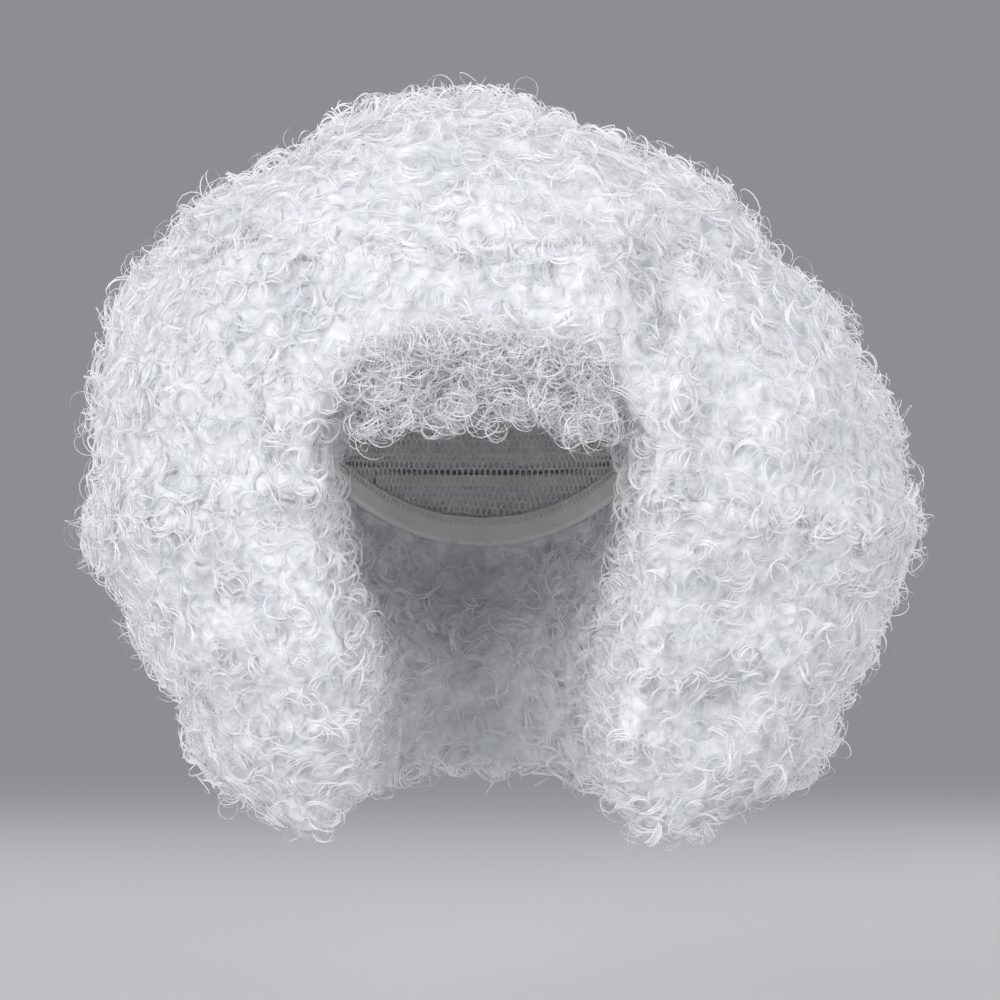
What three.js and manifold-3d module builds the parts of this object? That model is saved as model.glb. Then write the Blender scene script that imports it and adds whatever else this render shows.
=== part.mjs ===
// A curly afro costume wig in its worn shape: a stretch cap with a bound edge, and eight sections of
// curled hair that are each fused to the weft strips they grow from. Millimetres, +Z up.
// The origin is the inside top of the cap, where the crown of the head touches it. The face looks
// along -Y, and +X is on the right of someone who looks at the face.

import * as THREE from "three";
import { mergeVertices } from "three/addons/utils/BufferGeometryUtils.js";
import Module from "manifold-3d";

const wasm = await Module();
wasm.setup();

// The head that the cap is stretched over
const headWidth = 156;
const headLength = 196;
const crownRise = 105; // from the widest level of the head up to the inside top of the cap
const jawDrop = 120; // from the widest level down to the foot of the hollow for the head

// The cap and its folded elastic binding
const capWall = 1.5;
const napeDrop = 150; // from the crown down to the cap's edge at the nape
const bandWidth = 12;
const bandWall = 1.2;
const gap = 0.3; // between pieces that touch on the real wig
const hairClearance = 1; // between the binding and the underside of the hair

// The weft strips that carry the hair
const weftHeight = 7;
const weftSpacing = 27;

// The outline of the hair, from the origin
const leftReach = 200;
const rightReach = 220;
const frontReach = 143;
const backReach = 192;
const hairTop = 76;
const hairDrop = 305;
const lockRise = 26; // how far the locks stand out of the mass between them
const lockRadius = 42;
const lockSpacing = 76; // along a row
const rowSpacing = 64;
const fewestLocks = 3; // in the smallest row
const lockVariation = 0.14; // share by which locks differ
const lockRoot = 64; // depth of a lock's root under its tip
const lockDroop = 9;

// The face opening and the room for the neck
const faceOpening = 118;
const neckBack = 62; // from the neck's axis to the hair behind it
const flareStart = 65; // from the neck's axis forward to where the opening starts to widen
const browDrop = 57; // from the crown down to the top of the face opening
const edgeLockRadius = 22;
const edgeLockRise = 8; // how far they reach into the opening past its cut edge
const edgeLockSpacing = 40;
const fringeLockRadius = 18;
const fringeDrop = 78; // from the crown down to the tips of the fringe

// The borders between the hair sections
const sectionGap = 0.6;
const fringeHalfAngle = 38;
const backHalfAngle = 46;
const crownBorderDrop = 45; // on the axis; the border climbs outwards
const sideBorderDrop = 76; // on the axis; the border falls outwards
const crownBorderSlope = 0.25;
const sideBorderSlope = 0.35;

// Facets
const turnSteps = 24;
const domeSteps = 6;
const footSteps = 6;
const outlineSteps = 24;
const lockSides = 5;
const neckSteps = 8;
const sectorSteps = 4;

const hairColour = 0xf2f3f5;
const capColour = 0xe9e7e2;
const bandColour = 0xf4f2ec;

// The cap's edge, from the forehead at azimuth 0 to the nape at 180. drop is a share of napeDrop.
const edgeTable = [
  { azimuth: 0, drop: 0.35 },
  { azimuth: 15, drop: 0.358 },
  { azimuth: 30, drop: 0.385 },
  { azimuth: 45, drop: 0.47 },
  { azimuth: 60, drop: 0.61 },
  { azimuth: 75, drop: 0.76 },
  { azimuth: 90, drop: 0.79 },
  { azimuth: 105, drop: 0.79 },
  { azimuth: 120, drop: 0.835 },
  { azimuth: 135, drop: 0.9 },
  { azimuth: 150, drop: 0.955 },
  { azimuth: 165, drop: 0.99 },
  { azimuth: 180, drop: 1 },
];

// Level sections of the hair. level is a share of hairTop above the crown and of hairDrop below it.
// The others are shares of the four reaches.
const outlineTable = [
  { level: 1, left: 0.25, right: 0.03, front: 0.22, back: 0.24 },
  { level: 0.85, left: 0.4, right: 0.2, front: 0.46, back: 0.43 },
  { level: 0.62, left: 0.52, right: 0.41, front: 0.63, back: 0.57 },
  { level: 0.32, left: 0.69, right: 0.58, front: 0.79, back: 0.73 },
  { level: 0, left: 0.84, right: 0.69, front: 0.9, back: 0.84 },
  { level: -0.115, left: 0.94, right: 0.85, front: 0.97, back: 0.93 },
  { level: -0.245, left: 0.975, right: 0.94, front: 1, back: 0.985 },
  { level: -0.377, left: 1, right: 1, front: 0.985, back: 1 },
  { level: -0.508, left: 0.995, right: 0.985, front: 0.94, back: 0.975 },
  { level: -0.639, left: 0.9, right: 0.92, front: 0.87, back: 0.9 },
  { level: -0.77, left: 0.79, right: 0.84, front: 0.78, back: 0.77 },
  { level: -0.869, left: 0.71, right: 0.78, front: 0.68, back: 0.59 },
  { level: -0.944, left: 0.6, right: 0.66, front: 0.56, back: 0.43 },
  { level: -1, left: 0.47, right: 0.49, front: 0.44, back: 0.3 },
];
const roundness = 0.88; // exponent of a level section: 1 is an ellipse, less is squarer
const topRow = 0.96; // levels of the highest and the lowest row of locks
const lowRow = -0.97;
const probeTurn = 2; // steps that measure the outline, in degrees and in levels
const probeLevel = 0.005;

// Level sections of the face opening. level is a share of hairDrop, and left and right are shares
// of half the opening's width.
const openingTable = [
  { level: -0.235, left: 0.74, right: 0.74 },
  { level: -0.31, left: 1, right: 0.97 },
  { level: -0.46, left: 1, right: 1.03 },
  { level: -0.58, left: 0.86, right: 0.95 },
  { level: -0.66, left: 0.72, right: 0.86 },
  { level: -0.77, left: 0.78, right: 0.83 },
  { level: -0.89, left: 0.88, right: 0.95 },
  { level: -1.08, left: 1, right: 1.12 },
];
// A lock's widths, from its root at 0 to its tip at 1, as shares of its radius.
const lockTable = [
  { at: 0, width: 0.8 },
  { at: 0.55, width: 1 },
  { at: 0.88, width: 0.72 },
];

// The locks of the fringe. across is a share of half the opening's width at the brow, and fall is a
// share of fringeDrop.
const fringeTable = [
  { across: -1.15, fall: 0.86 },
  { across: -0.7, fall: 0.97 },
  { across: -0.25, fall: 0.9 },
  { across: 0.2, fall: 1 },
  { across: 0.62, fall: 0.93 },
  { across: 1.1, fall: 0.88 },
];
const browArch = 0.4; // share of half the opening's width at its top
const openingFlare = 1.3; // how much wider the opening is at its front

const radians = THREE.MathUtils.degToRad;
const fullTurn = 360;

// A closed geometry through sections that each hold the same number of points. A loop of sections
// joins its last to its first. Otherwise a fan of triangles closes each end, from the given apexes or
// from the middle of the end's own section.
function loft(sections, { isLoop = false, apexes = [] } = {}) {
  const count = sections[0].length;
  const points = sections.flat();
  const faces = [];
  const spans = isLoop ? sections.length : sections.length - 1;
  for (let i = 0; i < spans; i++) {
    const near = i * count;
    const far = ((i + 1) % sections.length) * count;
    for (let j = 0; j < count; j++) {
      const next = (j + 1) % count;
      faces.push(near + j, near + next, far + next, near + j, far + next, far + j);
    }
  }
  if (!isLoop) {
    const lastStart = (sections.length - 1) * count;
    const centre = (section) =>
      section.reduce((sum, p) => sum.add(p), new THREE.Vector3()).divideScalar(count);
    const firstCentre = points.push(apexes[0] ?? centre(sections[0])) - 1;
    const lastCentre = points.push(apexes[1] ?? centre(sections.at(-1))) - 1;
    for (let j = 0; j < count; j++) {
      const next = (j + 1) % count;
      faces.push(firstCentre, next, j);
      faces.push(lastCentre, lastStart + j, lastStart + next);
    }
  }
  return new THREE.BufferGeometry().setFromPoints(points).setIndex(faces);
}

// A manifold solid from a closed geometry, with its faces turned outwards. Triangles that the merge
// of equal points has collapsed are left out.
function toSolid(geometry) {
  const bare = geometry.clone();
  bare.deleteAttribute("normal");
  bare.deleteAttribute("uv");
  const merged = mergeVertices(bare, 1e-4);
  const corners = [];
  for (let i = 0; i < merged.index.count; i += 3) {
    const [a, b, c] = merged.index.array.slice(i, i + 3);
    if (a !== b && b !== c && c !== a) corners.push(a, b, c);
  }
  const triVerts = new Uint32Array(corners);
  const make = () =>
    new wasm.Manifold(
      new wasm.Mesh({ numProp: 3, vertProperties: merged.attributes.position.array, triVerts }),
    );
  const solid = make();
  if (solid.volume() > 0) return solid;
  for (let i = 0; i < triVerts.length; i += 3)
    [triVerts[i + 1], triVerts[i + 2]] = [triVerts[i + 2], triVerts[i + 1]];
  return make();
}

function toGeometry(solid) {
  const mesh = solid.getMesh();
  const position = new THREE.BufferAttribute(mesh.vertProperties, mesh.numProp);
  return new THREE.BufferGeometry()
    .setAttribute("position", position)
    .setIndex(new THREE.BufferAttribute(mesh.triVerts, 1));
}

const join = (solids) => wasm.Manifold.union(solids);

// The largest body of a solid: a section's border can leave a crumb of a neighbour's lock.
const mainBody = (solid) => solid.decompose().sort((a, b) => b.volume() - a.volume())[0];

// Linear interpolation of one column of a table along another.
function readTable(table, along, column, at) {
  const rising = table.at(-1)[along] > table[0][along];
  const last = table.length - 1;
  let i = 1;
  while (i < last && (rising ? table[i][along] < at : table[i][along] > at)) i++;
  const share = (at - table[i - 1][along]) / (table[i][along] - table[i - 1][along]);
  return THREE.MathUtils.lerp(
    table[i - 1][column],
    table[i][column],
    THREE.MathUtils.clamp(share, 0, 1),
  );
}

// A size that differs from lock to lock, the same way each time.
const varied = (size, index) => size * (1 + lockVariation * Math.sin(index * index));

// A point on the head, offset outwards. polar is the angle from straight up, in radians.
function headPoint(azimuth, polar, offset) {
  const turn = radians(azimuth);
  const rise = (polar < Math.PI / 2 ? crownRise : jawDrop) + offset;
  return new THREE.Vector3(
    (headWidth / 2 + offset) * Math.sin(polar) * Math.sin(turn),
    -(headLength / 2 + offset) * Math.sin(polar) * Math.cos(turn),
    rise * Math.cos(polar) - crownRise,
  );
}

const polarOfDrop = (drop) => Math.acos((crownRise - drop) / (drop < crownRise ? crownRise : jawDrop));
const arcToPolar = (arc) => arc / crownRise;
const fromFront = (azimuth) => 180 - Math.abs((((azimuth % fullTurn) + fullTurn) % fullTurn) - 180);

function edgePolar(azimuth) {
  return polarOfDrop(napeDrop * readTable(edgeTable, "azimuth", "drop", fromFront(azimuth)));
}

const azimuths = (steps) => Array.from({ length: steps }, (_, i) => (i * fullTurn) / steps);

function buildCap() {
  const skin = (offset) => {
    const sections = [];
    for (let i = 1; i <= domeSteps + 1; i++)
      sections.push(
        azimuths(turnSteps).map((azimuth) => {
          const bandTop = edgePolar(azimuth) - arcToPolar(bandWidth);
          const polar = i <= domeSteps ? (bandTop * i) / domeSteps : edgePolar(azimuth);
          return headPoint(azimuth, polar, offset);
        }),
      );
    return sections;
  };
  // Down the outside, over the edge and up the inside.
  return loft([...skin(capWall), ...skin(0).reverse()], {
    apexes: [headPoint(0, 0, capWall), headPoint(0, 0, 0)],
  });
}

// The binding is folded over the cap's edge: a leg outside, a web under the edge and a leg inside.
function buildBand() {
  const outer = capWall + gap;
  const inner = -gap;
  const legTop = -arcToPolar(bandWidth);
  const webTop = arcToPolar(gap);
  const webFoot = arcToPolar(gap + bandWall);
  const profile = [
    [legTop, outer + bandWall],
    [legTop, outer],
    [webTop, outer],
    [webTop, inner],
    [legTop, inner],
    [legTop, inner - bandWall],
    [webFoot, inner - bandWall],
    [webFoot, outer + bandWall],
  ];
  return loft(
    azimuths(turnSteps).map((azimuth) =>
      profile.map(([along, offset]) => headPoint(azimuth, edgePolar(azimuth) + along, offset)),
    ),
    { isLoop: true },
  );
}

const hairOffset = capWall + gap + bandWall + hairClearance;

const sideTurn = (value) => Math.sign(value) * Math.abs(value) ** roundness;
const levelHeight = (level, inset) =>
  level > 0 ? level * (hairTop - inset) : level * (hairDrop - inset);

// A point of the hair's outline: a level of the table, an azimuth, and an inset from the lock tips.
function outlinePoint(level, azimuth, inset) {
  const sine = sideTurn(Math.sin(radians(azimuth)));
  const cosine = sideTurn(Math.cos(radians(azimuth)));
  const side = sine > 0 ? "right" : "left";
  const end = cosine > 0 ? "front" : "back";
  const reach = { left: leftReach, right: rightReach, front: frontReach, back: backReach };
  const across = readTable(outlineTable, "level", side, level) * (reach[side] - inset);
  const along = readTable(outlineTable, "level", end, level) * (reach[end] - inset);
  return new THREE.Vector3(across * sine, -along * cosine, levelHeight(level, inset));
}

// The direction straight out of the outline at a point of it.
function outlineNormal(level, azimuth) {
  const along = outlinePoint(level, azimuth + probeTurn, 0).sub(
    outlinePoint(level, azimuth - probeTurn, 0),
  );
  const up = outlinePoint(level + probeLevel, azimuth, 0).sub(
    outlinePoint(level - probeLevel, azimuth, 0),
  );
  return along.cross(up).normalize();
}

function buildMass() {
  return loft(
    outlineTable.map((row) =>
      azimuths(outlineSteps).map((azimuth) => outlinePoint(row.level, azimuth, lockRise)),
    ),
  );
}

// A lock: a tube from its root to a domed tip, bent on the way through its middle.
function lock(root, middle, tip, radius) {
  const spine = new THREE.QuadraticBezierCurve3(root, middle, tip);
  return loft(
    lockTable.map(({ at, width }) => {
      const centre = spine.getPoint(at);
      const ahead = spine.getTangent(at);
      const turn = new THREE.Quaternion().setFromUnitVectors(new THREE.Vector3(0, 0, 1), ahead);
      return azimuths(lockSides).map((angle) =>
        new THREE.Vector3(Math.cos(radians(angle)), Math.sin(radians(angle)), 0)
          .multiplyScalar(radius * width)
          .applyQuaternion(turn)
          .add(centre),
      );
    }),
    { apexes: [root, tip] },
  );
}

const drop = (amount) => new THREE.Vector3(0, 0, -amount);

// The levels of the rows of locks, evenly spaced down the side of the outline.
function lockLevels() {
  const levels = [topRow];
  const sideAt = (level) => outlinePoint(level, 90, 0);
  let last = sideAt(topRow);
  let run = 0;
  for (let level = topRow; level > lowRow; level -= probeLevel) {
    const here = sideAt(level);
    run += here.distanceTo(last);
    last = here;
    if (run < rowSpacing) continue;
    levels.push(level);
    run = 0;
  }
  return levels;
}

function outerLocks() {
  const locks = [];
  lockLevels().forEach((level, row) => {
    const rim = azimuths(outlineSteps).map((azimuth) => outlinePoint(level, azimuth, 0));
    const girth = rim.reduce((sum, point, i) => sum + point.distanceTo(rim.at(i - 1)), 0);
    const count = Math.max(fewestLocks, Math.round(girth / lockSpacing));
    for (let i = 0; i < count; i++) {
      const azimuth = ((i + (row % 2) / 2) * fullTurn) / count;
      const normal = outlineNormal(level, azimuth);
      const size = varied(lockRadius, locks.length);
      const tip = outlinePoint(level, azimuth, 0).addScaledVector(normal, (size - lockRadius) / 2);
      const root = tip.clone().addScaledVector(normal, -lockRoot).add(drop(-lockDroop));
      const middle = tip.clone().addScaledVector(normal, -lockRoot / 2);
      locks.push(toSolid(lock(root, middle, tip, size)));
    }
  });
  return locks;
}

const halfOpening = (level, side) =>
  (readTable(openingTable, "level", side, level) * faceOpening) / 2;

// The opening for the face and neck, from in front of the hair back to behind the neck.
function buildOpening() {
  const foreEnd = frontReach + lockRadius;
  const section = (height, left, right) => {
    const points = [
      new THREE.Vector3(-left * openingFlare, -foreEnd, height),
      new THREE.Vector3(-left, -flareStart, height),
    ];
    for (let i = 0; i <= neckSteps; i++) {
      const turn = (Math.PI * i) / neckSteps;
      const across = i < neckSteps / 2 ? left : right;
      const back = neckBack * Math.sin(turn);
      points.push(new THREE.Vector3(-across * Math.cos(turn), back, height));
    }
    points.push(new THREE.Vector3(right, -flareStart, height));
    points.push(new THREE.Vector3(right * openingFlare, -foreEnd, height));
    return points;
  };
  const brow = (browArch * faceOpening) / 2;
  return loft([
    section(-browDrop, brow, brow),
    ...openingTable.map(({ level }) =>
      section(
        level * hairDrop,
        halfOpening(level, "left") + edgeLockRise,
        halfOpening(level, "right") + edgeLockRise,
      ),
    ),
  ]);
}

// Locks that soften both edges of the face opening, from the temples to the lowest curls.
function edgeLocks() {
  const locks = [];
  const lowest = edgeLockRadius - hairDrop;
  for (let height = -browDrop - edgeLockRadius; height > lowest; height -= edgeLockSpacing) {
    const level = height / hairDrop;
    for (const side of ["left", "right"]) {
      const sign = side === "left" ? -1 : 1;
      const edge = halfOpening(level, side) + edgeLockRise;
      const fore = readTable(outlineTable, "level", "front", level) * frontReach;
      const at = (across, back, fall) =>
        new THREE.Vector3(sign * (edge + across), -fore + back, height - fall);
      locks.push(
        toSolid(
          lock(
            at(2 * edgeLockRadius, 3 * edgeLockRadius, -edgeLockRadius),
            at(edgeLockRadius, 1.2 * edgeLockRadius, 0),
            at(edgeLockRadius - edgeLockRise, edgeLockRadius, edgeLockRadius / 2),
            varied(edgeLockRadius, locks.length),
          ),
        ),
      );
    }
  }
  return locks;
}

// The short locks of the fringe, which hang over the brow.
function fringeRow() {
  const ahead = frontReach - lockRise;
  const halfRow = halfOpening(openingTable[0].level, "left");
  return fringeTable.map(({ across, fall }) => {
    const at = (forward, down) => new THREE.Vector3(across * halfRow, -forward, -down);
    return toSolid(
      lock(
        at(ahead - fringeLockRadius / 2, browDrop - 2 * fringeLockRadius),
        at(ahead + fringeLockRadius / 3, browDrop),
        at(ahead, fall * fringeDrop),
        fringeLockRadius,
      ),
    );
  });
}

// The polar angles of the weft strips' middles, from the crown down to the nape.
function weftPolars() {
  const polars = [];
  const spacing = arcToPolar(weftSpacing);
  const lowest = edgePolar(180) - arcToPolar(bandWidth + weftHeight);
  for (let polar = spacing; polar < lowest; polar += spacing) polars.push(polar);
  return polars;
}

// The hollow under the hair: the head, the cap and the binding, with clearance. Its skin steps in to
// the cap along each weft strip, which leaves the strip standing on the hair's inner side. A strip
// stops where the binding is.
function buildHeadHollow() {
  const halfStrip = arcToPolar(weftHeight) / 2;
  const step = fullTurn / turnSteps;
  const ring = (polar, offsetAt) =>
    azimuths(turnSteps).map((azimuth) => headPoint(azimuth, polar, offsetAt(azimuth)));
  const plain = () => hairOffset;
  const sections = [];
  const polars = weftPolars();
  polars.forEach((polar) => {
    const clears = (azimuth) =>
      polar + halfStrip + arcToPolar(gap) < edgePolar(azimuth) - arcToPolar(bandWidth);
    const stepped = (azimuth) =>
      [-step, 0, step].every((aside) => clears(azimuth + aside)) ? capWall + gap : hairOffset;
    sections.push(ring(polar - arcToPolar(weftSpacing) / 2, plain));
    sections.push(ring(polar - halfStrip, plain));
    sections.push(ring(polar - halfStrip, stepped));
    sections.push(ring(polar + halfStrip, stepped));
    sections.push(ring(polar + halfStrip, plain));
  });
  const foot = polars.at(-1) + halfStrip;
  for (let i = 1; i < footSteps; i++)
    sections.push(ring(THREE.MathUtils.lerp(foot, Math.PI, i / footSteps), plain));
  return loft(sections, {
    apexes: [headPoint(0, 0, hairOffset), headPoint(0, Math.PI, hairOffset)],
  });
}

function buildHair() {
  const grown = join([toSolid(buildMass()), ...outerLocks()]);
  const opened = grown.subtract(toSolid(buildOpening()));
  const fringed = join([opened, ...edgeLocks(), ...fringeRow()]);
  return fringed.subtract(toSolid(buildHeadHollow()));
}

// The heights of the two borders at a distance from the axis.
const crownBorder = (radius) => -crownBorderDrop + crownBorderSlope * radius;
const sideBorder = (radius) => -sideBorderDrop - sideBorderSlope * radius;
const cellRadius = leftReach + rightReach; // past all of the hair
const above = () => hairTop + 2 * lockRadius + crownBorderSlope * cellRadius;
const below = () => -hairDrop - 2 * lockRadius - sideBorderSlope * cellRadius;

// Everything between two borders, as a turned solid.
function bandBetween(low, high, lowGap, highGap) {
  const profile = [
    new THREE.Vector2(0, low(0) + lowGap),
    new THREE.Vector2(cellRadius, low(cellRadius) + lowGap),
    new THREE.Vector2(cellRadius, high(cellRadius) - highGap),
    new THREE.Vector2(0, high(0) - highGap),
  ];
  const turned = new THREE.LatheGeometry(profile, outlineSteps).rotateX(Math.PI / 2);
  return toSolid(turned);
}

// Everything between two azimuths, drawn back from both borders by half of the gap.
function sectorBetween(start, end) {
  const heading = (azimuth) =>
    new THREE.Vector2(Math.sin(radians(azimuth)), -Math.cos(radians(azimuth)));
  const middle = heading((start + end) / 2);
  const shift = sectionGap / 2 / Math.sin(radians((end - start) / 2));
  const apex = middle.clone().multiplyScalar(shift);
  const corners = [apex];
  for (let i = 0; i <= sectorSteps; i++) {
    const azimuth = THREE.MathUtils.lerp(start, end, i / sectorSteps);
    corners.push(heading(azimuth).multiplyScalar(cellRadius).add(apex));
  }
  const prism = new THREE.ExtrudeGeometry(new THREE.Shape(corners), {
    depth: above() - below(),
    bevelEnabled: false,
  }).translate(0, 0, below());
  return toSolid(prism);
}

const half = sectionGap / 2;
const layers = {
  crown: () => bandBetween(crownBorder, above, half, 0),
  upper: () => bandBetween(sideBorder, crownBorder, half, half),
  lower: () => bandBetween(below, sideBorder, 0, half),
};
const backStart = 180 - backHalfAngle;
const backEnd = 180 + backHalfAngle;
const hairSections = [
  { name: "crown_hair", layer: "crown" },
  { name: "fringe_hair", layer: "upper", from: -fringeHalfAngle, to: fringeHalfAngle },
  { name: "right_upper_hair", layer: "upper", from: fringeHalfAngle, to: backStart },
  { name: "back_upper_hair", layer: "upper", from: backStart, to: backEnd },
  { name: "left_upper_hair", layer: "upper", from: backEnd, to: fullTurn - fringeHalfAngle },
  { name: "right_lower_hair", layer: "lower", from: 0, to: backStart },
  { name: "back_lower_hair", layer: "lower", from: backStart, to: backEnd },
  { name: "left_lower_hair", layer: "lower", from: backEnd, to: fullTurn },
];

function namedMesh(name, geometry, material) {
  const mesh = new THREE.Mesh(geometry, material);
  mesh.name = name;
  return mesh;
}

function capGroup() {
  const net = new THREE.MeshStandardMaterial({ color: capColour, roughness: 0.85, metalness: 0 });
  const elastic = new THREE.MeshStandardMaterial({ color: bandColour, roughness: 0.7, metalness: 0 });
  const group = new THREE.Group();
  group.add(namedMesh("cap_net", toGeometry(toSolid(buildCap())), net));
  group.add(namedMesh("edge_band", toGeometry(toSolid(buildBand())), elastic));
  return group;
}

function hairGroup() {
  const fibre = new THREE.MeshStandardMaterial({ color: hairColour, roughness: 0.5, metalness: 0 });
  const hair = buildHair();
  const group = new THREE.Group();
  for (const { name, layer, from, to } of hairSections) {
    let section = hair.intersect(layers[layer]());
    if (from !== undefined) section = section.intersect(sectorBetween(from, to));
    group.add(namedMesh(name, toGeometry(mainBody(section)), fibre));
  }
  return group;
}

const wig = new THREE.Group();
wig.add(capGroup(), hairGroup());

export default wig;
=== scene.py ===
"""A curly afro costume wig: dense clumps of ring curls over a soft mass of fibre, a net cap with sewn
weft tape inside, and a ribbed elastic binding. Metres, +Z up. The face opening looks along -Y."""

import math

import bmesh
import bpy
import numpy as np
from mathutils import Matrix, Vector, noise
from mathutils.bvhtree import BVHTree


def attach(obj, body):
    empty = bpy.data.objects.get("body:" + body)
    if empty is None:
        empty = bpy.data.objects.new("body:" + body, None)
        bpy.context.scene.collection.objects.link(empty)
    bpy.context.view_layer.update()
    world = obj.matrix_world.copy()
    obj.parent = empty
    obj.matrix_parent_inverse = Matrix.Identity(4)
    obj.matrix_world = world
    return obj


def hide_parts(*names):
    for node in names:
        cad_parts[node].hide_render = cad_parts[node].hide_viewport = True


SEED = 7

HAIR_NODES = (
    "crown_hair",
    "fringe_hair",
    "left_upper_hair",
    "right_upper_hair",
    "back_upper_hair",
    "left_lower_hair",
    "right_lower_hair",
    "back_lower_hair",
)

# The fibre mass under the curls
MASS_VOXEL = 0.0055
SMOOTH_PASSES = 16
SMOOTH_FROM = (0.003, 0.012)  # how far from other sections smoothing starts and is full
MASS_SINK = 0.004  # how far the mass lies under the solid's surface, so that curls cover it
MASS_ROUGH = 0.0035  # height of the clumps pressed into it
BORDER_LAP = 0.003  # how far it runs past a border between two sections
SEAM_NEAR = 0.004  # from another section, within which it closes the seam
SEAM_LAP = 0.0

# The curls
CLUMP_AREA = 7.2e-5  # of surface for each clump of strands, in square metres
STRANDS = (2, 4)  # fewest and most strands in a clump
CURL_RADIUS = (0.0042, 0.0072)
CURL_TURNS = (0.8, 1.35)
CURL_PITCH = (-0.002, 0.005)  # rise for each turn
CURL_POINTS = 10  # along each turn
CURL_LIFT = (-0.002, 0.0035)
STRAND_WIDTH = (0.00055, 0.0009)
CLUMP_SPREAD = 0.0008  # between the strands of a clump
STRAY_SHARE = 0.16  # of the strands have left their clump
FRIZZ_SHARE = 0.35  # of the strays stand out loosely
FRIZZ_LIFT = (0.002, 0.009)
BORDER_REACH = 0.002  # within which one section's wall faces another's
SEAM_SPREAD = 0.0035  # of those curls to both sides of the seam
SEAM_LIFT = -0.001  # of those curls
SEAM_REACH = 0.015  # from the outer skin, down to which a border carries curls too
HAIR_MIDDLE = (0, 0.01, -0.11)
COVER_MARGIN = 0.012  # from the head, within which the hair's inner wall lies
EDGE_COVER = 0.006  # below the cap's edge, before the first curls of that wall

# The thin curls over the brow
WISPS = 620
WISP_TOP = (-0.134, -0.046)  # Y and Z where they start
WISP_FOOT = (-0.120, -0.102)  # and where the lowest of them hang
WISP_HALF_WIDTH = 0.062
COIL_SHARE = 0.12  # of their strands hang down as open coils
COIL_PITCH = (0.006, 0.012)

# The head, as the cap is stretched over it
HEAD = Vector((0.078, 0.098, 0.105))
JAW_DROP = 0.120
HEAD_MIDDLE = Vector((0, 0, -0.105))

# The cap, its edge binding and the weft tapes sewn to it
CAP_WALL = 0.0015
GAP = 0.0003
NAPE_DROP = 0.150
BAND_WIDTH = 0.012
BAND_WALL = 0.0012
BAND_RIBS = 6
NET_THREAD = 0.0008
NET_DETAIL = 6  # times that the net's triangles are split
TAPE_HEIGHT = 0.005
TAPE_WALL = 0.0012
WEFT_SPACING = 0.027
SEAM_PITCH = 0.0032  # of a zigzag seam
SEAM_THREAD = 0.0005

# The cap's edge, at every 15 degrees from the forehead, as shares of NAPE_DROP
EDGE_SHARES = (0.35, 0.358, 0.385, 0.47, 0.61, 0.76, 0.79, 0.79, 0.835, 0.9, 0.955, 0.99, 1.0)


def read_mesh(obj):
    """The vertices and triangles of an object's mesh, as arrays."""
    mesh = obj.data
    mesh.calc_loop_triangles()
    verts = np.empty(len(mesh.vertices) * 3)
    mesh.vertices.foreach_get("co", verts)
    tris = np.empty(len(mesh.loop_triangles) * 3, dtype=np.int64)
    mesh.loop_triangles.foreach_get("vertices", tris)
    return verts.reshape(-1, 3), tris.reshape(-1, 3)


def make_object(name, verts, faces, smooth=True):
    """A mesh object from vertex positions and faces that all have the same number of corners."""
    mesh = bpy.data.meshes.new(name)
    faces = np.asarray(faces, dtype=np.int32)
    corners = faces.shape[1]
    mesh.vertices.add(len(verts))
    mesh.vertices.foreach_set("co", np.asarray(verts, dtype=np.float32).ravel())
    mesh.loops.add(faces.size)
    mesh.loops.foreach_set("vertex_index", faces.ravel())
    mesh.polygons.add(len(faces))
    mesh.polygons.foreach_set("loop_start", np.arange(0, faces.size, corners, dtype=np.int32))
    mesh.polygons.foreach_set("use_smooth", np.full(len(faces), smooth))
    mesh.update(calc_edges=True)
    mesh.validate()
    obj = bpy.data.objects.new(name, mesh)
    bpy.context.scene.collection.objects.link(obj)
    return obj


def noise_at(points, scale, offset):
    """A vector of smooth noise for each point."""
    shift = Vector((offset, -offset, 2 * offset))
    return np.array([noise.noise_vector(Vector(p) * scale + shift) for p in points])


def unit(vectors):
    return vectors / np.maximum(np.linalg.norm(vectors, axis=-1, keepdims=True), 1e-12)


def scatter(verts, tris, count, rng):
    """Points spread evenly by area over triangles, with each one's face normal."""
    a, b, c = verts[tris[:, 0]], verts[tris[:, 1]], verts[tris[:, 2]]
    cross = np.cross(b - a, c - a)
    area = np.linalg.norm(cross, axis=1) / 2
    bounds = np.cumsum(area)
    picks = np.searchsorted(bounds, (np.arange(count) + rng.random(count)) / count * bounds[-1])
    picks = np.minimum(picks, len(tris) - 1)
    u, v = rng.random((2, count))
    flip = u + v > 1
    u[flip], v[flip] = 1 - u[flip], 1 - v[flip]
    points = a[picks] + (b - a)[picks] * u[:, None] + (c - a)[picks] * v[:, None]
    return points, unit(cross[picks]), picks


def total_area(verts, tris):
    a, b, c = verts[tris[:, 0]], verts[tris[:, 1]], verts[tris[:, 2]]
    return np.linalg.norm(np.cross(b - a, c - a), axis=1).sum() / 2


class HairSolid:
    """One hair section: its solid's search tree, and the softened skin that its curls grow from."""

    def __init__(self, node):
        self.name = node.name
        verts, tris = read_mesh(node)
        self.tree = BVHTree.FromPolygons(verts.tolist(), tris.tolist())
        self.skin = None


def inside_head(points, margin):
    """Which points lie within the head's form, grown by a margin."""
    rel = points - np.array(HEAD_MIDDLE)
    rise = np.where(rel[:, 2] > 0, HEAD.z, JAW_DROP)
    shares = (rel[:, 0] / (HEAD.x + margin)) ** 2
    shares += (rel[:, 1] / (HEAD.y + margin)) ** 2
    shares += (rel[:, 2] / (rise + margin)) ** 2
    return shares < 1


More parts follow.
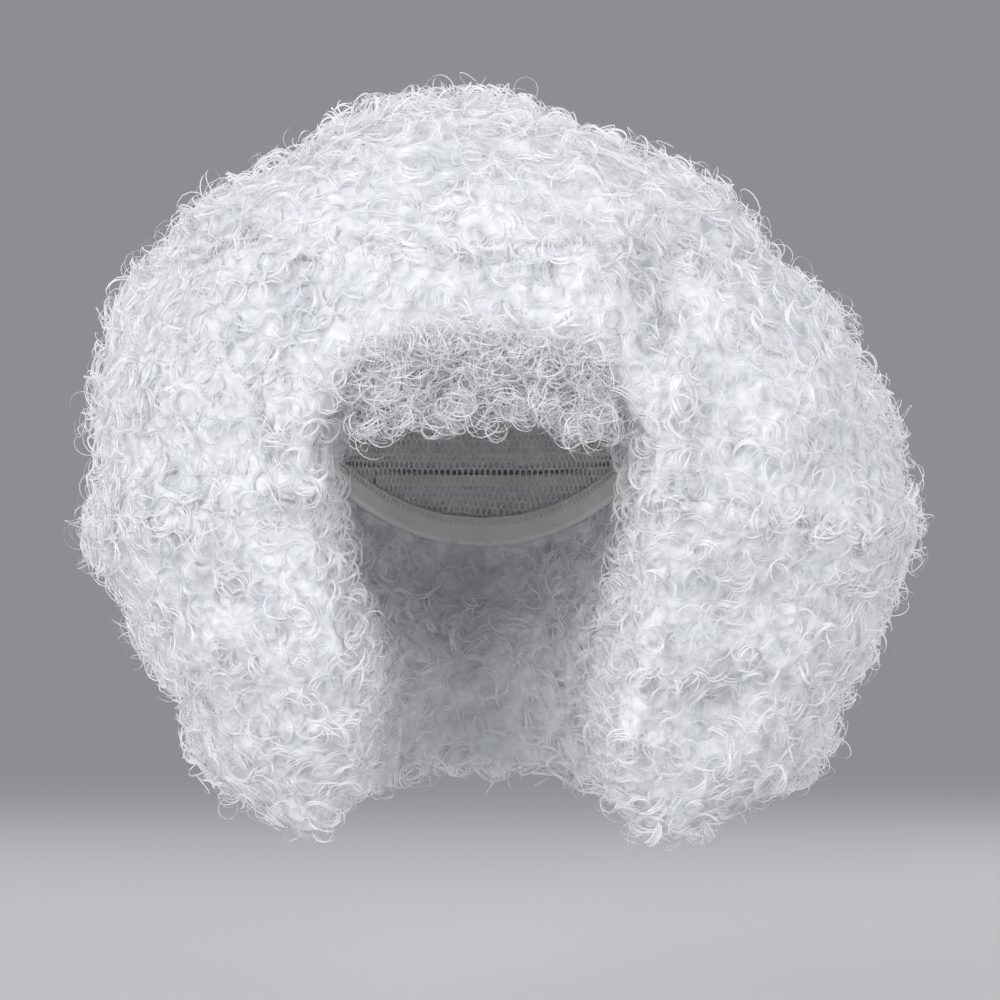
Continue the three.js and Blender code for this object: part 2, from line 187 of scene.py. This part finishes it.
def under_cap(points):
    """Which points lie on the hair's inner wall, where the cap covers it."""
    azimuth = np.arctan2(points[:, 0] / HEAD.x, -points[:, 1] / HEAD.y)
    drops = NAPE_DROP * edge_share(azimuth) + EDGE_COVER
    return inside_head(points, COVER_MARGIN) & (-points[:, 2] < drops)


def on_border(points, normals, solid, solids):
    """Which points lie on a wall that faces another section, where no one sees them."""
    others = [other.tree for other in solids if other is not solid]
    hits = np.zeros(len(points), bool)
    for i, (point, normal) in enumerate(zip(points, normals)):
        start, ahead = Vector(point), Vector(normal)
        hits[i] = any(
            other.ray_cast(start, ahead, BORDER_REACH)[0] is not None for other in others
        )
    return hits


def ring_curls(centres, axes, starts, radii, turns, pitches, widths):
    """Ribbons that run round rings. Each ring has a centre, an axis, a unit vector to its start, a
    radius, a number of turns, a rise for each turn and a ribbon width."""
    steps = int(math.ceil(CURL_POINTS * max(CURL_TURNS))) + 1
    share = np.linspace(0, 1, steps)
    others = np.cross(axes, starts)
    angle = 2 * math.pi * turns[:, None] * share
    # The ring opens out a little towards both of its ends.
    spread = 1 + 0.22 * np.abs(2 * share - 1) ** 3
    reach = radii[:, None] * spread
    out = (
        np.cos(angle)[..., None] * starts[:, None, :]
        + np.sin(angle)[..., None] * others[:, None, :]
    )
    spine = centres[:, None, :] + out * reach[..., None]
    spine += axes[:, None, :] * (pitches[:, None] * turns[:, None] * (share - 0.5))[..., None]
    taper = np.clip(np.minimum(share, 1 - share) * 7, 0.25, 1)
    across = unit(axes[:, None, :] * 0.8 + out * 0.6)
    half = across * (widths[:, None] / 2 * taper)[..., None]
    rails = np.stack([spine - half, spine + half], axis=2)
    count = len(centres)
    verts = rails.reshape(-1, 3)
    base = (np.arange(count) * steps * 2)[:, None] + np.arange(steps - 1) * 2
    faces = np.stack([base, base + 1, base + 3, base + 2], axis=-1).reshape(-1, 4)
    return verts, faces


def lift_seams(points, normals, border, solid, rng):
    """Moves the border points that lie not far under the skin out to it and to both sides, so that
    curls cover the seam. Returns which of the points may carry curls."""
    outward = unit(points - np.array(HAIR_MIDDLE))
    keep = ~border
    for i in np.flatnonzero(border):
        start = Vector(points[i] - normals[i] * BORDER_REACH / 2)
        hit = solid.tree.ray_cast(start, Vector(outward[i]), SEAM_REACH)
        if hit[0] is not None:
            points[i] = np.array(hit[0]) + SEAM_SPREAD * rng.normal() * normals[i]
            points[i] += SEAM_LIFT * outward[i]
            normals[i] = outward[i]
            keep[i] = True
    return keep


def curl_piece(solid, solids, rng):
    verts, tris = solid.skin
    clumps = int(total_area(verts, tris) / CLUMP_AREA)
    points, normals, _ = scatter(verts, tris, clumps, rng)
    border = on_border(points, normals, solid, solids)
    keep = lift_seams(points, normals, border, solid, rng) & ~under_cap(points)
    points, normals = points[keep], normals[keep]
    # Face normals are softened towards the section's own outward direction.
    normals = unit(normals + 0.6 * unit(points - np.array(HAIR_MIDDLE)))
    thin = np.zeros(len(points), bool)
    if solid.name == "fringe_hair":
        points = np.concatenate([points, fringe_wisps(rng)])
        normals = np.concatenate([normals, np.tile([0.0, -1.0, -0.2], (WISPS, 1))])
        thin = np.arange(len(points)) >= len(thin)
    verts, faces = ring_curls(*grow_clumps(points, normals, thin, rng))
    return make_object(solid.name.replace("hair", "curls"), verts, faces)


def grow_clumps(points, normals, thin, rng):
    """The rings of all strands. Those of a clump lie side by side, and a few have strayed. A thin
    clump has finer strands, and more of them have strayed."""
    clumps = len(points)
    swirl = unit(noise_at(points, 34, 3.0) + 0.45 * rng.normal(size=points.shape))
    # A clump lies anywhere from flat on the surface to standing on it.
    stand = rng.beta(1.3, 1.3, clumps)[:, None]
    side = rng.choice([-1, 1], clumps)[:, None]
    clump_axis = unit(swirl * (1 - stand) + normals * (0.2 + 1.2 * stand) * side)
    clump_way = unit(rng.normal(size=points.shape))
    clump_radius = rng.uniform(*CURL_RADIUS, clumps)
    clump_lift = rng.uniform(*CURL_LIFT, clumps)
    clump_turns = rng.uniform(*CURL_TURNS, clumps)
    clump_pitch = rng.uniform(*CURL_PITCH, clumps)

    strands = rng.integers(STRANDS[0], STRANDS[1] + 1, clumps)
    owner = np.repeat(np.arange(clumps), strands)
    total = len(owner)
    thin = thin[owner]
    stray = rng.random(total) < np.where(thin, 0.5, STRAY_SHARE)
    frizz = stray & (rng.random(total) < FRIZZ_SHARE)
    wander = np.where(stray, 1.2, 0.10)[:, None]
    axis = unit(clump_axis[owner] + wander * rng.normal(size=(total, 3)))
    way = unit(clump_way[owner] + wander * rng.normal(size=(total, 3)))
    radius = clump_radius[owner] * rng.uniform(0.9, 1.12, total)
    lift = clump_lift[owner] + 0.0005 * rng.normal(size=total)
    lift = np.where(frizz, rng.uniform(*FRIZZ_LIFT, total), lift)
    centre = points[owner] + normals[owner] * (lift - 0.35 * radius)[:, None]
    centre += CLUMP_SPREAD * rng.normal(size=(total, 3))
    turns = clump_turns[owner] * rng.uniform(0.85, 1.0, total)
    pitch = clump_pitch[owner] + np.where(stray, 0.003, 0.0003) * rng.normal(size=total)
    coil = thin & (rng.random(total) < COIL_SHARE)
    down = unit(np.array([0.0, 0.0, -1.0]) + 0.35 * rng.normal(size=(total, 3)))
    axis = np.where(coil[:, None], down, axis)
    start = unit(np.cross(axis, way))
    pitch = np.where(coil, rng.uniform(*COIL_PITCH, total), pitch)
    width = rng.uniform(*STRAND_WIDTH, total) * np.where(frizz | thin, 0.6, 1)
    return centre, axis, start, radius, turns, pitch, width


def fringe_wisps(rng):
    """Places for the thin curls that hang over the brow, fewer towards their lowest."""
    fall = np.minimum(rng.beta(1.1, 1.9, WISPS), rng.uniform(0.68, 0.8, WISPS))
    across = rng.uniform(-1, 1, WISPS)
    rows = np.stack([across * WISP_HALF_WIDTH, 0 * fall, 0 * fall], axis=1)
    rows[:, 1:] = np.array(WISP_TOP) + fall[:, None] * (np.array(WISP_FOOT) - WISP_TOP)
    rows[:, 1] += 0.010 * across**2 + 0.005 * rng.normal(size=WISPS)
    rows[:, 2] -= 0.012 * across**2 + 0.010 * fall * noise_at(rows, 60, 9.0)[:, 0]
    return rows


def soften(verts, edges, solid, solids):
    """Smooths a skin, except under the cap and where other sections are near. Returns it, and
    each vertex's distance from the nearest other section, as far as SMOOTH_FROM reaches."""
    others = [other.tree for other in solids if other is not solid]
    reach = SMOOTH_FROM[1]
    near = np.full(len(verts), reach)
    for i, place in enumerate(verts):
        for other in others:
            found = other.find_nearest(Vector(place), reach)[3]
            if found is not None:
                near[i] = min(near[i], found)
    weight = np.clip((near - SMOOTH_FROM[0]) / (reach - SMOOTH_FROM[0]), 0, 1)
    weight[under_cap(verts)] = 0
    degree = np.bincount(edges.ravel(), minlength=len(verts))[:, None]
    soft = verts.copy()
    for _ in range(SMOOTH_PASSES):
        total = np.zeros_like(soft)
        np.add.at(total, edges[:, 0], soft[edges[:, 1]])
        np.add.at(total, edges[:, 1], soft[edges[:, 0]])
        soft += weight[:, None] * 0.6 * (total / np.maximum(degree, 1) - soft)
    return soft, near


def mass_piece(node, solid, solids):
    """The section's solid as one soft body of fibre, pressed into clumps. It runs a little way past
    its borders, so that no groove shows between two sections."""
    piece = bpy.data.objects.new(node.name.replace("hair", "fibre"), node.data.copy())
    bpy.context.scene.collection.objects.link(piece)
    remesh = piece.modifiers.new("remesh", "REMESH")
    remesh.mode = "VOXEL"
    remesh.voxel_size = MASS_VOXEL
    depsgraph = bpy.context.evaluated_depsgraph_get()
    dense = bpy.data.meshes.new_from_object(piece.evaluated_get(depsgraph))
    piece.modifiers.clear()
    piece.data = dense

    verts = np.empty(len(dense.vertices) * 3)
    dense.vertices.foreach_get("co", verts)
    edges = np.empty(len(dense.edges) * 2, dtype=np.int32)
    dense.edges.foreach_get("vertices", edges)
    verts, near = soften(verts.reshape(-1, 3), edges.reshape(-1, 2), solid, solids)
    dense.vertices.foreach_set("co", verts.ravel())
    dense.update()
    solid.skin = read_mesh(piece)

    normals = np.empty(len(dense.vertices) * 3)
    dense.vertices.foreach_get("normal", normals)
    normals = normals.reshape(-1, 3)
    rough = np.array([noise.noise(Vector(p) * 95) for p in verts])
    rough += 0.5 * np.array([noise.noise(Vector(p) * 210) for p in verts])
    shift = -MASS_SINK + MASS_ROUGH * rough
    shift = np.where(near < SEAM_NEAR, SEAM_LAP + 0.3 * MASS_ROUGH * rough, shift)
    shift[on_border(verts - normals * BORDER_REACH / 2, normals, solid, solids)] = BORDER_LAP
    shift[under_cap(verts)] = 0
    dense.vertices.foreach_set("co", (verts + normals * shift[:, None]).ravel())
    dense.polygons.foreach_set("use_smooth", [True] * len(dense.polygons))
    dense.update()
    return piece


def head_points(azimuth, polar, offset):
    """Points on the head, offset outwards. Azimuth 0 is the forehead, and polar is from the crown."""
    azimuth, polar, offset = np.broadcast_arrays(azimuth, polar, offset)
    rise = np.where(polar < math.pi / 2, HEAD.z, JAW_DROP) + offset
    return np.stack(
        [
            (HEAD.x + offset) * np.sin(polar) * np.sin(azimuth),
            -(HEAD.y + offset) * np.sin(polar) * np.cos(azimuth),
            rise * np.cos(polar) + HEAD_MIDDLE.z,
        ],
        axis=-1,
    )


def edge_share(azimuth):
    """How far down the cap's edge lies, as a share of NAPE_DROP."""
    degrees = np.degrees(np.asarray(azimuth)) % 360
    degrees = np.minimum(degrees, 360 - degrees)
    return np.interp(degrees, np.arange(0, 181, 15), EDGE_SHARES)


def edge_polar(azimuth):
    """How far from the crown the cap's edge lies, as an angle."""
    drops = NAPE_DROP * edge_share(azimuth)
    return np.arccos((HEAD.z - drops) / np.where(drops < HEAD.z, HEAD.z, JAW_DROP))


def arc(length):
    """The angle on the head that a length takes up."""
    return length / HEAD.z


def sweep(sections, closed):
    """Vertices and faces through sections of points, joined in a loop or closed with end faces."""
    count, corners = sections.shape[:2]
    grid = np.arange(count * corners).reshape(count, corners)
    near = grid if closed else grid[:-1]
    far = np.roll(grid, -1, axis=0) if closed else grid[1:]
    faces = np.stack([near, np.roll(near, -1, 1), np.roll(far, -1, 1), far], axis=-1)
    return sections.reshape(-1, 3), faces.reshape(-1, 4)


def merge(parts):
    """One set of vertices and faces from several."""
    start = np.cumsum([0] + [len(verts) for verts, _ in parts])
    verts = np.concatenate([verts for verts, _ in parts])
    return verts, np.concatenate([faces + first for (_, faces), first in zip(parts, start)])


def thread_tube(path, radius, closed):
    """A thin thread of three sides along a path."""
    if closed:
        ahead = np.roll(path, -1, 0) - np.roll(path, 1, 0)
    else:
        ahead = np.gradient(path, axis=0)
    ahead = unit(ahead)
    up = unit(path - np.array(HEAD_MIDDLE))
    side = unit(np.cross(ahead, up))
    turns = np.arange(3) * 2 * math.pi / 3
    ring = np.cos(turns)[:, None] * side[:, None] + np.sin(turns)[:, None] * up[:, None]
    return sweep(path[:, None] + radius * ring, closed)


def net_cap():
    """The stretch net: six-sided cells whose threads lie on the head's form."""
    ball = bmesh.new()
    bmesh.ops.create_icosphere(ball, subdivisions=NET_DETAIL, radius=1)
    ball.faces.ensure_lookup_table()
    middles = unit(np.array([face.calc_center_median() for face in ball.faces]))
    pairs = [[f.index for f in edge.link_faces] for edge in ball.edges]
    pairs = np.array([pair for pair in pairs if len(pair) == 2])
    ball.free()
    azimuth = np.arctan2(middles[:, 0], -middles[:, 1])
    polar = np.arccos(np.clip(middles[:, 2], -1, 1))
    on_cap = polar < edge_polar(azimuth) - arc(GAP)
    pairs = pairs[on_cap[pairs].all(axis=1)]
    knots = head_points(azimuth, polar, CAP_WALL / 2)
    start, end = knots[pairs[:, 0]], knots[pairs[:, 1]]
    ahead = unit(end - start)
    up = unit((start + end) / 2 - np.array(HEAD_MIDDLE))
    side = unit(np.cross(ahead, up)) * NET_THREAD / 2
    start, end = start - ahead * NET_THREAD / 3, end + ahead * NET_THREAD / 3
    verts = np.stack([start - side, end - side, end + side, start + side], axis=1)
    faces = np.arange(len(pairs) * 4).reshape(-1, 4)
    return make_object("cap_netting", verts.reshape(-1, 3), faces, smooth=False)


def edge_binding():
    """The ribbed elastic that is folded over the cap's edge, with its zigzag seam."""
    azimuth = np.radians(np.arange(0, 360, 2.0))
    edge = edge_polar(azimuth)
    along = np.linspace(-BAND_WIDTH, 0, 2 * BAND_RIBS + 1)
    rib = np.where(np.arange(len(along)) % 2, 0.00018, 0.0)
    outer = CAP_WALL + GAP + BAND_WALL
    inner = -GAP - BAND_WALL
    foot = GAP + BAND_WALL
    profile = [(a, outer - r) for a, r in zip(along, rib)]
    profile += [(foot * 0.7, outer - 0.0004), (foot, (outer + inner) / 2), (foot * 0.7, inner + 0.0004)]
    profile += [(a, inner + r) for a, r in zip(along[::-1], rib[::-1])]
    profile += [(-BAND_WIDTH, -GAP), (0, -GAP), (GAP, (outer + inner) / 2), (0, CAP_WALL + GAP)]
    profile += [(-BAND_WIDTH, CAP_WALL + GAP)]
    sections = np.stack(
        [head_points(azimuth, edge + arc(a), offset) for a, offset in profile], axis=1
    )
    parts = [sweep(sections, True)]
    steps = int(2 * math.pi * HEAD.y / SEAM_PITCH) * 2
    turn = np.arange(steps) * 2 * math.pi / steps
    zigzag = np.where(np.arange(steps) % 2, 0.0015, 0.0045)
    for offset in (outer + SEAM_THREAD * 0.3, inner - SEAM_THREAD * 0.3):
        path = head_points(turn, edge_polar(turn) - arc(BAND_WIDTH - zigzag), offset)
        parts.append(thread_tube(path, SEAM_THREAD / 2, True))
    verts, faces = merge(parts)
    return make_object("elastic_binding", verts, faces)


def weft_tapes():
    """The tapes that the hair is sewn to, in rows round the cap, each with its zigzag seam."""
    parts = []
    outer, inner = CAP_WALL + GAP + TAPE_WALL, CAP_WALL + GAP
    half = arc(TAPE_HEIGHT / 2)
    profile = ((-1, inner), (-1, outer), (1, outer), (1, inner))
    lowest = edge_polar(math.pi) - arc(BAND_WIDTH + TAPE_HEIGHT)
    for polar in np.arange(arc(WEFT_SPACING), lowest, arc(WEFT_SPACING) / 2):
        azimuth = np.radians(np.arange(0, 360, 2.0))
        clear = polar + 1.6 * half < edge_polar(azimuth) - arc(BAND_WIDTH)
        closed = bool(clear.all())
        if not closed:
            azimuth = np.sort(azimuth[clear])
        if len(azimuth) < 6:
            continue
        sections = np.stack(
            [head_points(azimuth, polar + side * half, offset) for side, offset in profile], axis=1
        )
        parts.append(sweep(sections, closed))
        length = (azimuth[-1] - azimuth[0]) * HEAD.y * math.sin(polar)
        steps = max(8, int(length / SEAM_PITCH) * 2)
        turn = np.linspace(azimuth[0], azimuth[-1], steps)
        path = head_points(
            turn,
            polar + np.where(np.arange(steps) % 2, -0.55, 0.55) * half,
            -SEAM_THREAD / 2,
        )
        parts.append(thread_tube(path, SEAM_THREAD / 2, False))
    verts, faces = merge(parts)
    return make_object("weft_tapes", verts, faces, smooth=False)


def tree(material):
    nodes, links = material.node_tree.nodes, material.node_tree.links
    nodes.clear()
    output = nodes.new("ShaderNodeOutputMaterial")
    shader = nodes.new("ShaderNodeBsdfPrincipled")
    links.new(shader.outputs["BSDF"], output.inputs["Surface"])
    return nodes, links, shader


def new_material(name):
    material = bpy.data.materials.new(name)
    material.use_nodes = True
    return material


def noise_node(nodes, links, coordinates, scale, detail=3.0):
    texture = nodes.new("ShaderNodeTexNoise")
    texture.inputs["Scale"].default_value = scale
    texture.inputs["Detail"].default_value = detail
    links.new(coordinates.outputs["Object"], texture.inputs["Vector"])
    return texture


def ramp_node(nodes, links, source, stops):
    ramp = nodes.new("ShaderNodeValToRGB")
    elements = ramp.color_ramp.elements
    while len(elements) < len(stops):
        elements.new(0.5)
    for element, (place, colour) in zip(elements, stops):
        element.position = place
        element.color = (*colour, 1)
    links.new(source, ramp.inputs["Fac"])
    return ramp


def bump_node(nodes, links, height, strength, distance, shader):
    bump = nodes.new("ShaderNodeBump")
    bump.inputs["Strength"].default_value = strength
    bump.inputs["Distance"].default_value = distance
    links.new(height, bump.inputs["Height"])
    links.new(bump.outputs["Normal"], shader.inputs["Normal"])
    return bump


def strand_material():
    material = new_material("white_strand")
    nodes, links, shader = tree(material)
    coordinates = nodes.new("ShaderNodeTexCoord")
    patches = noise_node(nodes, links, coordinates, 60)
    ramp = ramp_node(
        nodes,
        links,
        patches.outputs["Fac"],
        [(0.3, (0.86, 0.875, 0.90)), (0.5, (0.94, 0.945, 0.955)), (0.7, (0.99, 0.99, 0.99))],
    )
    links.new(ramp.outputs["Color"], shader.inputs["Base Color"])
    shader.inputs["Roughness"].default_value = 0.32
    shader.inputs["Sheen Weight"].default_value = 0.25
    shader.inputs["Sheen Roughness"].default_value = 0.4
    glow = nodes.new("ShaderNodeBsdfTranslucent")
    links.new(ramp.outputs["Color"], glow.inputs["Color"])
    mix = nodes.new("ShaderNodeMixShader")
    mix.inputs["Fac"].default_value = 0.28
    links.new(shader.outputs["BSDF"], mix.inputs[1])
    links.new(glow.outputs["BSDF"], mix.inputs[2])
    links.new(mix.outputs["Shader"], nodes["Material Output"].inputs["Surface"])
    return material


def painted_shade_fibre_material():
    material = new_material("white_fibre")
    nodes, links, shader = tree(material)
    coordinates = nodes.new("ShaderNodeTexCoord")
    clumps = noise_node(nodes, links, coordinates, 130, 4)
    # The mass is coloured greyer than the white strands as painted shade for the gaps between the
    # curls. The noise mottles that grey at random.
    ramp = ramp_node(
        nodes,
        links,
        clumps.outputs["Fac"],
        [(0.32, (0.71, 0.73, 0.76)), (0.5, (0.82, 0.835, 0.86)), (0.68, (0.91, 0.92, 0.94))],
    )
    links.new(ramp.outputs["Color"], shader.inputs["Base Color"])
    shader.inputs["Roughness"].default_value = 0.75
    shader.inputs["Sheen Weight"].default_value = 0.4
    swirl = nodes.new("ShaderNodeTexVoronoi")
    swirl.inputs["Scale"].default_value = 190
    links.new(coordinates.outputs["Object"], swirl.inputs["Vector"])
    bump_node(nodes, links, swirl.outputs["Distance"], 0.6, 0.003, shader)
    return material


def cloth_material(name, dark, light_colour, weave, roughness):
    """Plain cloth, with a fine weave and slightly uneven whiteness."""
    material = new_material(name)
    nodes, links, shader = tree(material)
    coordinates = nodes.new("ShaderNodeTexCoord")
    patches = noise_node(nodes, links, coordinates, 45)
    ramp = ramp_node(nodes, links, patches.outputs["Fac"], [(0.35, dark), (0.65, light_colour)])
    links.new(ramp.outputs["Color"], shader.inputs["Base Color"])
    shader.inputs["Roughness"].default_value = roughness
    shader.inputs["Sheen Weight"].default_value = 0.2
    threads = noise_node(nodes, links, coordinates, weave, 2)
    bump_node(nodes, links, threads.outputs["Fac"], 0.5, 0.0004, shader)
    return material


def finish_piece(piece, material, slot, *replaced):
    piece.data.materials.clear()
    piece.data.materials.append(material)
    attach(piece, "root")
    if replaced:
        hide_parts(*replaced)
    return piece


def build_hair(nodes):
    strand, fibre = strand_material(), painted_shade_fibre_material()
    solids = [HairSolid(nodes[name]) for name in HAIR_NODES]
    for index, solid in enumerate(solids):
        rng = np.random.default_rng(SEED + index)
        finish_piece(mass_piece(nodes[solid.name], solid, solids), fibre, "hair", solid.name)
        finish_piece(curl_piece(solid, solids, rng), strand, "hair")


def build_cap():
    net = cloth_material("net_thread", (0.78, 0.77, 0.74), (0.9, 0.89, 0.86), 900, 0.85)
    elastic = cloth_material("ribbed_elastic", (0.84, 0.83, 0.8), (0.93, 0.92, 0.9), 1400, 0.7)
    finish_piece(net_cap(), net, "cap_net", "cap_net")
    finish_piece(edge_binding(), elastic, "edge_band", "edge_band")
    finish_piece(weft_tapes(), elastic, "hair")


def light(name, place, target, size, power, colour=(1, 1, 1)):
    data = bpy.data.lights.new(name, "AREA")
    data.shape = "DISK"
    data.size = size
    data.energy = power
    data.color = colour
    lamp = bpy.data.objects.new(name, data)
    lamp.location = place
    lamp.rotation_mode = "QUATERNION"
    lamp.rotation_quaternion = (Vector(target) - Vector(place)).to_track_quat("-Z", "Y")
    bpy.context.scene.collection.objects.link(lamp)


FLOOR_LEVEL = -0.42
FLOOR_COLOUR = (0.58, 0.585, 0.595)
FLOOR_FADE = (0.5, 2.6)  # metres from the wig between which the floor fades out
VIEW_MIDDLE = Vector((0.009, 0.0, -0.1275))
VIEW_DISTANCE = 1.9
VIEW_WIDTH = 0.5  # of the plane through the wig's middle that fills the picture


def build_studio():
    floor = make_object(
        "floor",
        [(-6, -6, FLOOR_LEVEL), (6, -6, FLOOR_LEVEL), (6, 6, FLOOR_LEVEL), (-6, 6, FLOOR_LEVEL)],
        [(0, 1, 2, 3)],
    )
    # The floor fades into the backdrop with its distance from the wig.
    material = new_material("studio_floor")
    nodes, links, shader = tree(material)
    shader.inputs["Base Color"].default_value = (*FLOOR_COLOUR, 1)
    shader.inputs["Roughness"].default_value = 0.85
    coordinates = nodes.new("ShaderNodeTexCoord")
    distance = nodes.new("ShaderNodeVectorMath")
    distance.operation = "LENGTH"
    links.new(coordinates.outputs["Object"], distance.inputs[0])
    fade = nodes.new("ShaderNodeMapRange")
    fade.interpolation_type = "SMOOTHSTEP"
    fade.inputs["From Min"].default_value = FLOOR_FADE[0]
    fade.inputs["From Max"].default_value = FLOOR_FADE[1]
    links.new(distance.outputs["Value"], fade.inputs["Value"])
    clear = nodes.new("ShaderNodeBsdfTransparent")
    mix = nodes.new("ShaderNodeMixShader")
    links.new(fade.outputs["Result"], mix.inputs["Fac"])
    links.new(shader.outputs["BSDF"], mix.inputs[1])
    links.new(clear.outputs["BSDF"], mix.inputs[2])
    links.new(mix.outputs["Shader"], nodes["Material Output"].inputs["Surface"])
    floor.data.materials.append(material)

    world = bpy.data.worlds.new("studio")
    bpy.context.scene.world = world
    world.use_nodes = True
    background = world.node_tree.nodes["Background"]
    background.inputs["Color"].default_value = (0.40, 0.41, 0.43, 1)
    background.inputs["Strength"].default_value = 0.66

    target = (0, 0, -0.12)
    light("key", (-1.2, -1.6, 0.55), target, 1.3, 27)
    light("fill", (1.35, -1.45, 0.45), target, 1.4, 18)
    light("top", (0.1, 0.3, 1.5), target, 1.1, 3)
    light("back_right", (1.1, 1.5, 0.6), target, 1.2, 14)
    light("back_left", (-1.2, 1.5, 0.5), target, 1.2, 11)


def build_camera():
    bpy.context.scene.view_settings.view_transform = "Standard"
    data = bpy.data.cameras.new("camera")
    data.sensor_width = 36
    data.lens = 36 * VIEW_DISTANCE / VIEW_WIDTH
    camera = bpy.data.objects.new("camera", data)
    camera.location = VIEW_MIDDLE - Vector((0, VIEW_DISTANCE, 0))
    camera.rotation_euler = (math.radians(90), 0, 0)
    bpy.context.scene.collection.objects.link(camera)
    bpy.context.scene.camera = camera


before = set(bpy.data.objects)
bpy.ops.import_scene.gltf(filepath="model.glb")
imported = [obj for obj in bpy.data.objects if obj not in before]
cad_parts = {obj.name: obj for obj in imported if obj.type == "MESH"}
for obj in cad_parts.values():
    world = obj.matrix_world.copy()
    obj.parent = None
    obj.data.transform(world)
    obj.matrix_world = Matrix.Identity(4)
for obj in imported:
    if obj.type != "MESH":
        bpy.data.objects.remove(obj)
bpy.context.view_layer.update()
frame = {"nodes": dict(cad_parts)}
build_camera()
build_studio()
build_hair(frame["nodes"])
build_cap()
